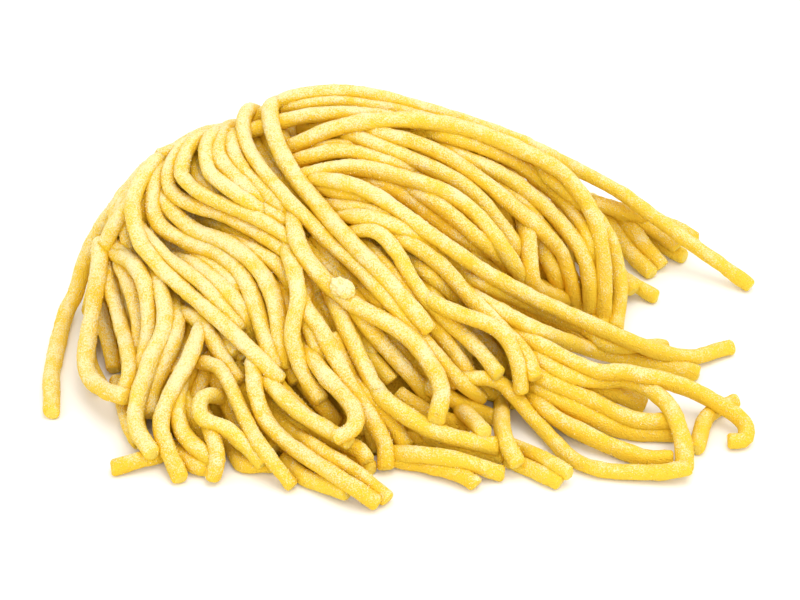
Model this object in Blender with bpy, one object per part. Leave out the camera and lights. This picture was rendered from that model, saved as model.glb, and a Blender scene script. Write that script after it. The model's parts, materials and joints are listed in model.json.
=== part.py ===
"""Fresh pasta nest: one draped hank of thick fresh spaghetti, lying on a board.

One solid: a mound with the strands that show fused on. A strand that shows is placed by its route
across the drawing plane, a plane through the heap that faces the eye 35 degrees above the board. It is
laid like a real one: it slides away from the eye until it rests on the mound, on a strand laid before
it or on the board, and it is too stiff to dip into a narrow gap. Strands on the far side are dropped
from above. Lengths are in millimetres until the solid is scaled to metres at the end.
"""

import math
import random
from typing import NamedTuple

import bmesh
import bpy
import numpy as np
from mathutils import Matrix, Vector

# Strands
THICKNESS = 3.0
RADIUS = THICKNESS / 2
SIDES = 5
CORNER_SHARE = 1.08
PRESSED = 2.6
BOARD_GAP = 0.1
LAY_STEP = 1.5
RING_STEP = 20.0
RING_TURN = math.radians(44)

# Stiffness: rounds of smoothing for a strand laid along the sight, one dropped, and a join
SEEN_ROUNDS = 40
DROPPED_ROUNDS = 25
LAST_ROUNDS = 4
JOIN_REACH = 9
JOIN_ROUNDS = 14

# Mound under the strands: its highest point, and how far it reaches from there
PEAK = 40.5
PEAK_X = -14.0
PEAK_Y = 18.0
REACH_FRONT = 71.0
REACH_BACK = 30.0
REACH_LEFT = 51.0
REACH_RIGHT = 62.0
WAIST_RIGHT = 16.0
WAIST_RUN = 24.0
SUNK = 0.6
GRAZE_REACH = 16.0
GRAZE_LOWEST = 18.0
MOUND_RINGS = 9
MOUND_AROUND = 30
MOUND_TOP = 0.1
MOUND_RIM = 0.6
THINNEST = 0.4
FARTHEST_RIM = 100.0

# Drawing plane of the routes
AIM = np.array([0.0, -8.0, 15.0])
EYE_DISTANCE = 467.0
EYE_TILT = math.radians(35)
EYE = AIM + EYE_DISTANCE * np.array([0.0, -math.cos(EYE_TILT), math.sin(EYE_TILT)])
ACROSS = np.array([1.0, 0.0, 0.0])
UPWARD = np.array([0.0, math.sin(EYE_TILT), math.cos(EYE_TILT)])
ABOVE = 120.0
SIGHT_RANGE = 140.0
SIGHT_SAMPLES = 900

# Strands on the far side: where on the crest they start, which way they run and how far
BACK_COUNT = 27
BACK_FIRST_X = 22.0
BACK_SPREAD = 60.0
BACK_FIRST_TURN = -8.0
BACK_SWEEP = 160.0
BACK_LENGTH = 28.0
BACK_SIDE_LENGTH = 13.0
BACK_BEND = 0.011
TAIL_BEND = 0.003
DIVE = 0.78

# Middle of the heap's box on the board, which becomes the origin
MIDDLE_X = 1.9
MIDDLE_Y = 1.0

SEED = 7
METRE = 0.001


class Route(NamedTuple):
    """Points of a strand: across and up the drawing plane, with the height over the board where it hangs.

    over is set where the strand goes on behind the crest: the turn from +X in degrees, and the length.
    """

    points: list
    over: tuple = None


# The strands that show, lowest first
ROUTES = [
    # Right rear, down on to the board
    Route([(43, 8.5, 9), (46.5, 5, 4), (53.5, 0.8)]),
    Route([(42, 20, 14), (50, 14.2, 3), (59.4, 9.2)]),
    Route([(40, 19.5, 14), (46, 13.7, 5), (48.5, 9.8), (52.7, 5.8)]),
    Route([(40, 21, 16), (46.5, 16.8, 7), (54.8, 7.4)]),
    Route([(39, 21.5, 18), (50, 16.5, 7), (58, 11.3)]),
    Route([(41, 20.5, 18), (56, 16, 5), (62, 12.8)]),
    # Along the left edge and over the top edge
    Route([(-36, 37), (-46, 33.2), (-58.5, 22.8, 27), (-64.8, 12, 16), (-68, 1, 5), (-70.3, -3, 1.5),
           (-73, -14.5), (-73.2, -23.5)], (28, 26)),
    Route([(-27, 42), (-10, 42.9), (12, 37), (25, 33), (35, 28.5, 26), (45, 23.4, 19), (55, 16.3, 11),
           (73.3, 3.2, 1.5)], (204, 26)),
    # Shaded arcs on the right, low in the heap
    Route([(4, 36), (14, 33.3), (26, 27.8), (38.5, 15.5), (41.6, 0)]),
    Route([(28, 30.4), (38, 24), (44.3, 17), (46.2, 3), (45.3, -6)]),
    Route([(-12, 34), (-8, 33.9), (12, 25), (20, 17.3), (25.5, 9), (26.2, 5)]),
    Route([(-24, 28), (-19, 30.2), (-10, 31.2), (4, 26.5)]),
    Route([(-9, 25.5), (0, 22.6), (10, 15), (22, 8)]),
    Route([(-14, 18), (-4, 16.6), (6, 11.7), (13, 5.5)]),
    Route([(-22, 2), (-15, -16), (-12.5, -19.5)]),
    Route([(-13, 4), (-8, -4.2), (4.5, -18.5), (5.5, -21.5)]),
    # Ends low on the board along the front
    Route([(23, -33.6), (28, -35.7), (33.3, -38.2)]),
    Route([(-47.5, -31.5), (-53.5, -33.3), (-60, -35.2)]),
    Route([(70.2, -21.3), (64.7, -24.3), (62.3, -31)]),
    # Left side, hanging to the board
    Route([(-58.5, 7), (-55.7, 0), (-54.6, -8), (-56, -17)]),
    Route([(-60, 10), (-54.6, 5.8), (-52.7, -6.5), (-56.5, -21)]),
    Route([(-48.5, 3), (-47, -6.5), (-52.2, -19), (-52.4, -23.8)]),
    Route([(-52, 6), (-50.2, 2), (-49.4, -5.5), (-52.6, -13.2), (-55.7, -25), (-52.3, -32)]),
    Route([(-63, 10), (-57, -12), (-57.9, -19.7)]),
    Route([(-63, 12), (-63.6, 4), (-66, -13.5), (-62.6, -18.6), (-58, -20.3)]),
    Route([(-45, -14), (-46.8, -22), (-45, -28.8), (-38, -34.6)]),
    Route([(-41.5, -4.5), (-44, -11.5), (-50.2, -25.5), (-46.3, -37.2)]),
    # Low fan on the right, nearly flat on the board
    Route([(24, -16.5), (33, -25), (49, -32.5), (56.7, -33.4)]),
    Route([(24, -13), (30, -19), (46, -27), (57.3, -28)]),
    Route([(23, -9.5), (29, -15.8), (41, -21.5), (49, -25.2), (57, -25.5)]),
    Route([(20, -5), (32, -14.5), (40, -16.9), (48, -16.9), (55.5, -21), (59.2, -28.5), (59.8, -35.4)]),
    Route([(17, -1.5), (24, -6.6), (40, -14.6), (48, -15.3), (60, -18.4), (71.5, -24.8), (72.6, -29.3),
           (69.6, -29.7)]),
    Route([(12, 3.5), (33, -4.8), (41, -9.4), (50, -11)]),
    Route([(13, 1.8), (34, -8.4), (62.2, -15.3)]),
    # Arcs from the crest round to the right
    Route([(6, 33.5), (25, 24), (38, 10.4), (40.5, -5)]),
    Route([(0, 24.3), (8, 20), (25, 5.5)]),
    Route([(-24, 24.5), (-15, 27.4), (-5, 27.2), (14, 19.8), (29, 0)]),
    Route([(-8, 36), (5, 32.4), (15, 26.7), (31.2, 13.2), (35, 7), (37.5, -3)]),
    Route([(-27, 30.5), (-10, 37), (10, 36.9), (30, 29.3), (37.5, 23), (41.7, 14.5), (43, 3),
           (42.6, -6)]),
    Route([(11, 6.2), (37, -5.2), (44, -9.6), (55.4, -9.7)]),
    Route([(-20, 25.5), (-12, 24.7), (-4, 21.3), (16, 7.1), (32, -1.4), (57, -11.6), (69.3, -9.9)]),
    Route([(-3, 14.5), (7.5, 8.3), (16, -0.9), (25, -9.8), (28.5, -16)]),
    # Left flank, from the crest down and round to the front
    Route([(-47.5, 9), (-42, 6.3), (-33.8, -1), (-30.5, -8.5)]),
    Route([(-51, 25), (-50, 20.5), (-43.5, 14.8), (-36.2, 11.9), (-30, 6.8), (-26.2, -0.5),
           (-24.5, -14)], (88, 28)),
    Route([(-49.5, 29.5), (-51.8, 26), (-51.3, 16.8), (-44.7, 12.2), (-37.5, 9.3), (-32, 3),
           (-26.5, -14)], (78, 28)),
    Route([(-56, 19), (-54.6, 15), (-49, 9), (-41.5, 3.3), (-33.5, -6)]),
    Route([(-35.3, 35.5), (-36, 31.5), (-31.5, 25.5), (-22.5, 17.5)], (66, 30)),
    Route([(-36, 37), (-38.5, 31), (-34, 25), (-27.5, 19.8)], (68, 32)),
    Route([(-43.5, 34.3), (-48.8, 28.5), (-47, 21.7), (-34.5, 16.8), (-20.5, 8)], (80, 34)),
    Route([(-41.5, 35), (-44.3, 33.3), (-46.4, 27.3), (-41.5, 22.2), (-29, 16.7), (-22, 12)], (76, 34)),
    Route([(-39, 35.8), (-41.6, 33.6), (-40.2, 27), (-28, 18)], (72, 34)),
    Route([(-50, 30.8), (-55.6, 24), (-55.5, 14.5), (-50.8, 7.3), (-36, -6), (-25.3, -16.6)], (84, 30)),
    # Front left, out to the longest ends
    Route([(-36.3, -20.6), (-41.5, -20.2), (-41.6, -24.8), (-36.3, -27.2), (-29, -34)]),
    Route([(-42, -13.2), (-39, -13.6), (-36.5, -16.3), (-31, -28), (-23, -38.7)]),
    Route([(-29, -16), (-21, -23.6), (-11, -29.8)]),
    Route([(-22, -28.5), (-9.7, -36), (-2.9, -41.5)]),
    Route([(-31, -13), (-29.8, -21.5), (-25, -29), (-5.2, -42.4)]),
    # Front middle
    Route([(-16, 4), (-7, -15), (-3.4, -20.5)]),
    Route([(-6, -18.5), (1, -24), (9, -28.2), (20, -30.6)]),
    Route([(-4, -32), (9, -33), (21.2, -36.4)]),
    Route([(-22.6, 5.5), (-19.6, -2.2), (-17, -5.6), (-10.8, -17.3), (-3.7, -29), (-3, -35)]),
    Route([(-20.5, -9), (-16, -15.7), (-10.2, -22), (-9.2, -25.2), (-10.7, -27.8), (-13.4, -28.8)]),
    Route([(-24, 12), (-21.3, 1.2), (-22.7, -6.3), (-20.8, -14.6), (-16.7, -20.7)]),
    # Uppermost strands, crossing the rest
    Route([(-10, 13), (-4.5, 8.5), (8.4, -7), (16, -17.8)]),
    Route([(8.5, -17.5), (20, -16.8), (29, -26), (38.5, -34.6), (53, -36.3), (60.3, -35.2)]),
    Route([(-12, 12.5), (-10.5, 14), (-5.4, 14.7), (-0.8, 10.3), (3.2, 3.3), (8.6, -3.3), (15.3, -9.2),
           (20.6, -15.4)]),
    Route([(4.5, 1), (10.5, -2.2), (20.7, -6.3), (24.6, -12.8), (25.5, -19)]),
    Route([(-31, 41.6), (-33, 40.3), (-33.5, 36.8), (-29.5, 28), (-16, 13.3), (-8.5, 6.3), (5.5, -9),
           (12.5, -17), (16.8, -20.4)], (74, 36)),
    Route([(-22.8, 18), (-21, 11), (-16, 4.2), (-10, -0.7), (2, -7.8), (8.6, -18), (7.6, -25)]),
    Route([(-27.5, 42.2), (-28, 39.5), (-23.8, 28.5), (-14.3, 16.6), (-4, 5.6), (6, -6)], (62, 38)),]


def mound_height(x, y):
    """Height of the mound over the board: a dome at the back and sides, a long easy slope in front."""
    ahead = PEAK_Y - y
    waist = np.clip(ahead / WAIST_RUN, 0, 1)
    right = REACH_RIGHT - WAIST_RIGHT * waist * waist * (3 - 2 * waist)
    u = np.where(x < PEAK_X, (PEAK_X - x) / REACH_LEFT, (x - PEAK_X) / right)
    v = np.where(ahead > 0, ahead / REACH_FRONT, -ahead / REACH_BACK)
    out = np.hypot(u, v)
    dome = 1 - out * out
    slope = np.where(out < 1, (1 - out) ** 2 * (1 + 2 * out), dome)
    share = np.where(ahead > 0, v * v / np.maximum(out * out, 1e-9), 0.0)
    return PEAK * (share * slope + (1 - share) * dome)


def even(line, step=LAY_STEP):
    """The same line with its points a step apart."""
    run = np.concatenate([[0], np.cumsum(np.linalg.norm(np.diff(line, axis=0), axis=1))])
    at = np.linspace(0, run[-1], max(4, int(round(run[-1] / step)) + 1))
    return np.column_stack([np.interp(at, run, line[:, k]) for k in range(line.shape[1])])


def smooth_curve(points):
    """Even points on the Catmull-Rom curve through a route's points."""
    p = np.asarray(points, float)
    ends = np.vstack([2 * p[0] - p[1], p, 2 * p[-1] - p[-2]])
    s = np.linspace(0, 1, 20, endpoint=False)[:, None]
    pieces = []
    for a, b, c, d in zip(ends, ends[1:], ends[2:], ends[3:]):
        bend = (2 * a - 5 * b + 4 * c - d) * s**2 + (3 * b - a - 3 * c + d) * s**3
        pieces.append(b + 0.5 * ((c - a) * s + bend))
    return even(np.vstack(pieces + [p[-1:]]))


def soften(values, times):
    """Averages each value with its neighbours, but leaves the two ends."""
    values = values.copy()
    for _ in range(times):
        values[1:-1] = (values[:-2] + 2 * values[1:-1] + values[2:]) / 4
    return values


def settle(limit, fixed, times):
    """How far a stiff strand slides: never past its limit, and bridging gaps narrower than its bends."""
    depth = np.where(np.isfinite(fixed), fixed, limit)
    for _ in range(times):
        depth = np.minimum(limit, soften(depth, 2))
        depth = np.where(np.isfinite(fixed), fixed, depth)
    return soften(depth, LAST_ROUNDS)


def reach_strands(laid, start, aim):
    """Distance along each line at which a strand's middle comes to rest on a strand that is there."""
    if not laid:
        return np.full(len(start), np.inf)
    away = np.vstack(laid)[None] - start[:, None]
    along = (away * aim[:, None]).sum(2)
    aside = (away**2).sum(2) - along**2
    touch = along - np.sqrt(np.clip(PRESSED**2 - aside, 0, None))
    return np.where(aside < PRESSED**2, touch, np.inf).min(1)


def reach_mound(start, aim):
    """Distance along each line of sight to the mound, to where it grazes the crest, or to the board."""
    lift = RADIUS - SUNK
    board = (RADIUS + BOARD_GAP - start[:, 2]) / aim[:, 2]
    far = np.linspace(board.min() - SIGHT_RANGE, board.max(), SIGHT_SAMPLES)
    spot = start[:, None] + aim[:, None] * far[None, :, None]
    over = spot[..., 2] - mound_height(spot[..., 0], spot[..., 1]) - lift
    over = np.where(spot[..., 2] >= RADIUS, over, np.inf)
    row = np.arange(len(start))
    hit = (over <= 0).any(1)
    first = far[np.argmax(over <= 0, axis=1)]
    nearest = np.argmin(np.where(spot[..., 2] > GRAZE_LOWEST, over, np.inf), axis=1)
    grazes = ~hit & (over[row, nearest] < GRAZE_REACH)
    return np.where(hit, first, np.where(grazes, far[nearest], board))


def spread_heights(route, flat):
    """Heights given at neighbouring route points, spread along the curve between them."""
    heights = np.full(len(flat), np.nan)
    spots = [int(np.argmin(((flat - point[:2]) ** 2).sum(1))) for point in route]
    for (one, low), (other, high) in zip(zip(route, spots), zip(route[1:], spots[1:])):
        if len(one) == 3 and len(other) == 3:
            heights[low : high + 1] = np.linspace(one[2], other[2], high - low + 1)
    return heights


def lay_along_sight(laid, route):
    """Lays a strand that shows along the lines of sight through its route."""
    flat = smooth_curve([point[:2] for point in route])
    place = AIM + flat[:, :1] * ACROSS + flat[:, 1:] * UPWARD
    aim = (place - EYE) / np.linalg.norm(place - EYE, axis=1)[:, None]
    start = np.repeat(EYE[None], len(flat), 0)
    limit = np.minimum(reach_mound(start, aim), reach_strands(laid, start, aim))
    fixed = (spread_heights(route, flat) - EYE[2]) / aim[:, 2]
    return even(start + aim * settle(limit, fixed, SEEN_ROUNDS)[:, None])


def lay_from_above(laid, plan):
    """Drops a strand straight down on its plan."""
    flat = smooth_curve(plan)
    start = np.column_stack([flat, np.full(len(flat), ABOVE)])
    aim = np.repeat(np.array([[0.0, 0.0, -1.0]]), len(flat), 0)
    rest = np.maximum(mound_height(flat[:, 0], flat[:, 1]) + RADIUS - SUNK, RADIUS + BOARD_GAP)
    limit = np.minimum(ABOVE - rest, reach_strands(laid, start, aim))
    depth = settle(limit, np.full(len(flat), np.nan), DROPPED_ROUNDS)
    return even(start + aim * depth[:, None])


def walk(x, y, turn, length, bend=0.0, step=6.0):
    """A plan that sets off in a direction and bends steadily."""
    plan = [(x, y)]
    for _ in range(round(length / step)):
        turn += bend * step
        x += math.cos(turn) * step
        y += math.sin(turn) * step
        plan.append((x, y))
    return plan


def back_plans(rng):
    """Plans of the strands behind the crest, fanned from the right round to the left."""
    plans = []
    for k in range(BACK_COUNT):
        u = (k + 0.5) / BACK_COUNT
        turn = math.radians(BACK_FIRST_TURN + BACK_SWEEP * u + rng.uniform(-10, 10))
        x = BACK_FIRST_X - BACK_SPREAD * u + rng.uniform(-3, 3)
        y = PEAK_Y + rng.uniform(-2, 8)
        length = BACK_LENGTH + BACK_SIDE_LENGTH * abs(math.cos(turn)) + rng.uniform(-4, 5)
        plans.append(walk(x, y, turn, length, rng.uniform(-BACK_BEND, BACK_BEND)))
    rng.shuffle(plans)
    return plans


def lay_over_crest(laid, line, over):
    """Carries a strand on behind the crest, where it drops out of sight, and eases the join."""
    turn, length = over
    plan = walk(line[0][0], line[0][1], math.radians(turn), length, TAIL_BEND)[::-1]
    behind = lay_from_above(laid, plan)
    ceiling = line[0][2] - DIVE * np.maximum(behind[:, 1] - line[0][1], 0)
    behind[:, 2] = np.clip(behind[:, 2], RADIUS + BOARD_GAP, np.maximum(ceiling, RADIUS + BOARD_GAP))
    whole = np.vstack([behind[:-1], line])
    join = len(behind) - 1
    near = slice(max(0, join - JOIN_REACH), join + JOIN_REACH)
    whole[near] = soften(whole[near], JOIN_ROUNDS)
    return even(whole)


def lay_strands():
    """Centre lines of every strand, in the order in which they were laid."""
    rng = random.Random(SEED)
    laid = []
    for plan in back_plans(rng):
        laid.append(lay_from_above(laid, plan))
    for route in ROUTES:
        line = lay_along_sight(laid, route.points)
        if route.over:
            line = lay_over_crest(laid, line, route.over)
        laid.append(line)
    return laid


def add_object(bm, name):
    """Makes an object of a bmesh and frees it."""
    mesh = bpy.data.meshes.new(name)
    bm.to_mesh(mesh)
    bm.free()
    obj = bpy.data.objects.new(name, mesh)
    bpy.context.scene.collection.objects.link(obj)
    return obj


def closer_in_bends(line):
    """Points along a line for its rings, closer together where it turns."""
    steps = np.diff(line, axis=0)
    lengths = np.linalg.norm(steps, axis=1)
    ahead = steps / lengths[:, None]
    turns = np.arccos(np.clip((ahead[1:] * ahead[:-1]).sum(1), -1, 1))
    run = np.concatenate([[0], np.cumsum(lengths / RING_STEP + np.append(turns, 0) / RING_TURN)])
    at = np.linspace(0, run[-1], max(2, round(run[-1])) + 1)
    return np.column_stack([np.interp(at, run, line[:, k]) for k in range(3)])


def stations(line):
    """Places and directions of a strand's rings, carried along without twisting."""
    line = closer_in_bends(line)
    ahead = soften(np.gradient(line, axis=0), 1)
    side = Vector((0, 0, 1)).cross(Vector(ahead[0]))
    frames = []
    for place, aim in zip(line, ahead):
        aim = Vector(aim).normalized()
        side = (side - aim * side.dot(aim)).normalized()
        frame = Matrix((side, aim.cross(side), aim)).transposed().to_4x4()
        frames.append(Matrix.Translation(place) @ frame)
    return frames


def make_strand(line, number, rng):
    """One strand: a ring of a few sides, extruded from station to station and closed at both ends."""
    bm = bmesh.new()
    frames = stations(line)
    turned = Matrix.Rotation(rng.uniform(0, math.tau), 4, "Z")
    bmesh.ops.create_circle(bm, segments=SIDES, radius=RADIUS * CORNER_SHARE, matrix=frames[0] @ turned)
    rim = bm.edges[:]
    for here, there in zip(frames, frames[1:]):
        grown = bmesh.ops.extrude_edge_only(bm, edges=rim)["geom"]
        rim = [item for item in grown if isinstance(item, bmesh.types.BMEdge)]
        ring = [item for item in grown if isinstance(item, bmesh.types.BMVert)]
        bmesh.ops.transform(bm, matrix=there @ here.inverted(), verts=ring)
    bmesh.ops.holes_fill(bm, edges=bm.edges, sides=0)
    bmesh.ops.recalc_face_normals(bm, faces=bm.faces)
    for vert in bm.verts:
        vert.co.z = max(vert.co.z, BOARD_GAP)
    return add_object(bm, f"strand_{number}")


def make_mound():
    """The solid core: rings that follow the mound's contours, closed by a flat base on the board."""
    bm = bmesh.new()
    bmesh.ops.create_cone(
        bm, cap_ends=True, segments=MOUND_AROUND, radius1=1.0, radius2=MOUND_TOP, depth=1.0
    )
    sides = [edge for edge in bm.edges if abs(edge.verts[0].co.z - edge.verts[1].co.z) > 0.5]
    bmesh.ops.subdivide_edges(bm, edges=sides, cuts=MOUND_RINGS, use_grid_fill=True)
    for vert in bm.verts:
        out = min(1.0, math.hypot(vert.co.x, vert.co.y))
        base = vert.co.z < -0.499
        turn = math.atan2(vert.co.y, vert.co.x)
        spot = edge_of_mound(turn) * (1.0 if base else out)
        x, y = PEAK_X + spot * math.cos(turn), PEAK_Y + spot * math.sin(turn)
        vert.co = (x, y, 0.0 if base else max(float(mound_height(x, y)), THINNEST))
    bmesh.ops.recalc_face_normals(bm, faces=bm.faces)
    return add_object(bm, "pasta_nest")


def edge_of_mound(turn):
    """How far from its highest point the mound meets the board, in one direction."""
    reach = np.linspace(5, FARTHEST_RIM, 400)
    heights = mound_height(PEAK_X + reach * math.cos(turn), PEAK_Y + reach * math.sin(turn))
    return float(reach[np.argmax(heights < MOUND_RIM)])


def fuse(core, strands):
    """Joins the strands to the core with one union, and drops the objects they came from."""
    group = bpy.data.collections.new("strands")
    bpy.context.scene.collection.children.link(group)
    for strand in strands:
        bpy.context.scene.collection.objects.unlink(strand)
        group.objects.link(strand)
    union = core.modifiers.new("Fuse strands", "BOOLEAN")
    union.operation = "UNION"
    union.operand_type = "COLLECTION"
    union.collection = group
    union.solver = "MANIFOLD"
    bpy.context.view_layer.objects.active = core
    bpy.ops.object.modifier_apply(modifier=union.name)
    for strand in strands:
        bpy.data.objects.remove(strand)
    bpy.data.collections.remove(group)


def keep_outer_shell(core):
    """Drops scraps that touch nothing and fills hollows that the fusing sealed: the largest shell stays."""
    bm = bmesh.new()
    bm.from_mesh(core.data)
    left = set(bm.verts)
    shells = []
    while left:
        shell, edge = set(), [left.pop()]
        while edge:
            vert = edge.pop()
            shell.add(vert)
            near = {link.other_vert(vert) for link in vert.link_edges} & left
            left -= near
            edge += near
        shells.append(shell)
    shells.sort(key=len)
    spare = [vert for shell in shells[:-1] for vert in shell]
    bmesh.ops.delete(bm, geom=spare, context="VERTS")
    bm.to_mesh(core.data)
    bm.free()
    print(f"{len(shells) - 1} loose scraps and sealed hollows removed")


def pasta_material():
    """Egg pasta dough, dull and pale yellow under its dusting of semolina."""
    material = bpy.data.materials.new("egg_pasta")
    material.use_nodes = True
    shader = material.node_tree.nodes["Principled BSDF"]
    shader.inputs["Base Color"].default_value = (0.94, 0.72, 0.24, 1.0)
    shader.inputs["Roughness"].default_value = 0.75
    shader.inputs["Metallic"].default_value = 0.0
    return material


def main():
    for obj in list(bpy.data.objects):
        bpy.data.objects.remove(obj)
    rng = random.Random(SEED)
    core = make_mound()
    lines = lay_strands()
    strands = [make_strand(line, number, rng) for number, line in enumerate(lines)]
    fuse(core, strands)
    keep_outer_shell(core)
    to_origin = Matrix.Translation((-MIDDLE_X, -MIDDLE_Y, 0.0))
    core.data.transform(Matrix.Scale(METRE, 4) @ to_origin)
    core.data.materials.append(pasta_material())
    corners = np.array([vert.co for vert in core.data.vertices]) / METRE
    low, high = corners.min(0), corners.max(0)
    print(f"{len(strands)} strands, {len(core.data.polygons)} faces")
    print("box in mm", low.round(2), high.round(2))


main()
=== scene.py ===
# %% [markdown]
# # Fresh pasta nest
#
# A hank of thick fresh spaghetti, made from egg dough, dusted with semolina and let fall in one soft
# fold on a board. The strands start behind the crest of the fold, come over it and run down the front in
# an uneven fan, left side floury and pale, right side smoother and yellower, until their cut ends lie
# spread out on the board.
#
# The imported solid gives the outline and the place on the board. The pieces below stand for it: nearly
# two hundred real strands over a smaller mound, with loose grains of semolina on top of them.

import json
import math
import random
from typing import NamedTuple

import bmesh
import bpy
import numpy as np
from mathutils import Matrix, Vector, noise
from mathutils.bvhtree import BVHTree

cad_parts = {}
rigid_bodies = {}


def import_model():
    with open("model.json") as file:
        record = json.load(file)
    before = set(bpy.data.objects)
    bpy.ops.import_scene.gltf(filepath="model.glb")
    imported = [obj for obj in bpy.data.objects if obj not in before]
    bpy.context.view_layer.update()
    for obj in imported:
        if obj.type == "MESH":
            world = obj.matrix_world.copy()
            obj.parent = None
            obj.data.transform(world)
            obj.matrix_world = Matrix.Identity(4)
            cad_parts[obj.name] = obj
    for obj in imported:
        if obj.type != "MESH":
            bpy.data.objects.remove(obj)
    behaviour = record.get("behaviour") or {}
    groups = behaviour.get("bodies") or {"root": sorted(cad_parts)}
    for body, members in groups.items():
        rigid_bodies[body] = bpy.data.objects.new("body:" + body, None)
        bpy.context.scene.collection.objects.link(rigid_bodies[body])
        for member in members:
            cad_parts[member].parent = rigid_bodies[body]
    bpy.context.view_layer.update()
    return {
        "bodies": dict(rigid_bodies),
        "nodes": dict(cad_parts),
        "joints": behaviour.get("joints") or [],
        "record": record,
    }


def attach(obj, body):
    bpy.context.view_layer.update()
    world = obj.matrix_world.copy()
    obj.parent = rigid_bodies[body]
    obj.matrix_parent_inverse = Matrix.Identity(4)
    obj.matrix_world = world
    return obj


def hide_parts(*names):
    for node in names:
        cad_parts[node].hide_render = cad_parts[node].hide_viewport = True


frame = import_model()

# %% [markdown]
# ## Sizes
#
# The strands are 3 mm thick, a common die size for thick spaghetti, and everything else follows from
# that: the photograph shows them 14 to 15 pixels wide, so that a pixel is 0.21 mm and the hank is about
# 150 mm long. Work is done in millimetres with the heap where it was drawn, and each piece is moved to
# the middle of the solid's base and turned into metres when it is finished.

# %% Sizes in millimetres
RADIUS = 1.5
PRESSED = 2.6
BOARD_GAP = 0.1
LAY_STEP = 1.5
MIDDLE = Vector((1.9, 1.0, 0.0))
METRE = 0.001
SEED = 7

PEAK = 40.5
PEAK_X = -14.0
PEAK_Y = 18.0
REACH_FRONT = 71.0
REACH_BACK = 30.0
REACH_LEFT = 51.0
REACH_RIGHT = 62.0
WAIST_RIGHT = 16.0
WAIST_RUN = 24.0
SUNK = 0.6
CORE_INSET = 6.0

AIM = np.array([0.0, -8.0, 15.0])
EYE_DISTANCE = 467.0
EYE_TILT = math.radians(35)
EYE = AIM + EYE_DISTANCE * np.array([0.0, -math.cos(EYE_TILT), math.sin(EYE_TILT)])
ACROSS = np.array([1.0, 0.0, 0.0])
UPWARD = np.array([0.0, math.sin(EYE_TILT), math.cos(EYE_TILT)])
print("strands", 2 * RADIUS, "mm thick; core", CORE_INSET, "mm inside the heap's own surface")

# %% [markdown]
# ## The routes of the strands that show
#
# What makes this hank itself is how its strands run, so the ninety-eight that can be told apart in front
# are each placed by a few points across and up a drawing plane that faces the eye, the lowest strand
# first. A third number is a height over the board, for the few that hang free. A strand with an "over"
# comes from behind the crest: the two numbers are its direction there and how far it goes on. The points
# would make a flat drawing; the laying rules further down turn them into a heap.


# %% Routes, lowest first
class Route(NamedTuple):
    """Points across and up the drawing plane, how it goes on behind the crest, and if its end is lost."""

    points: list
    over: tuple = None
    lost: bool = False


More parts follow.
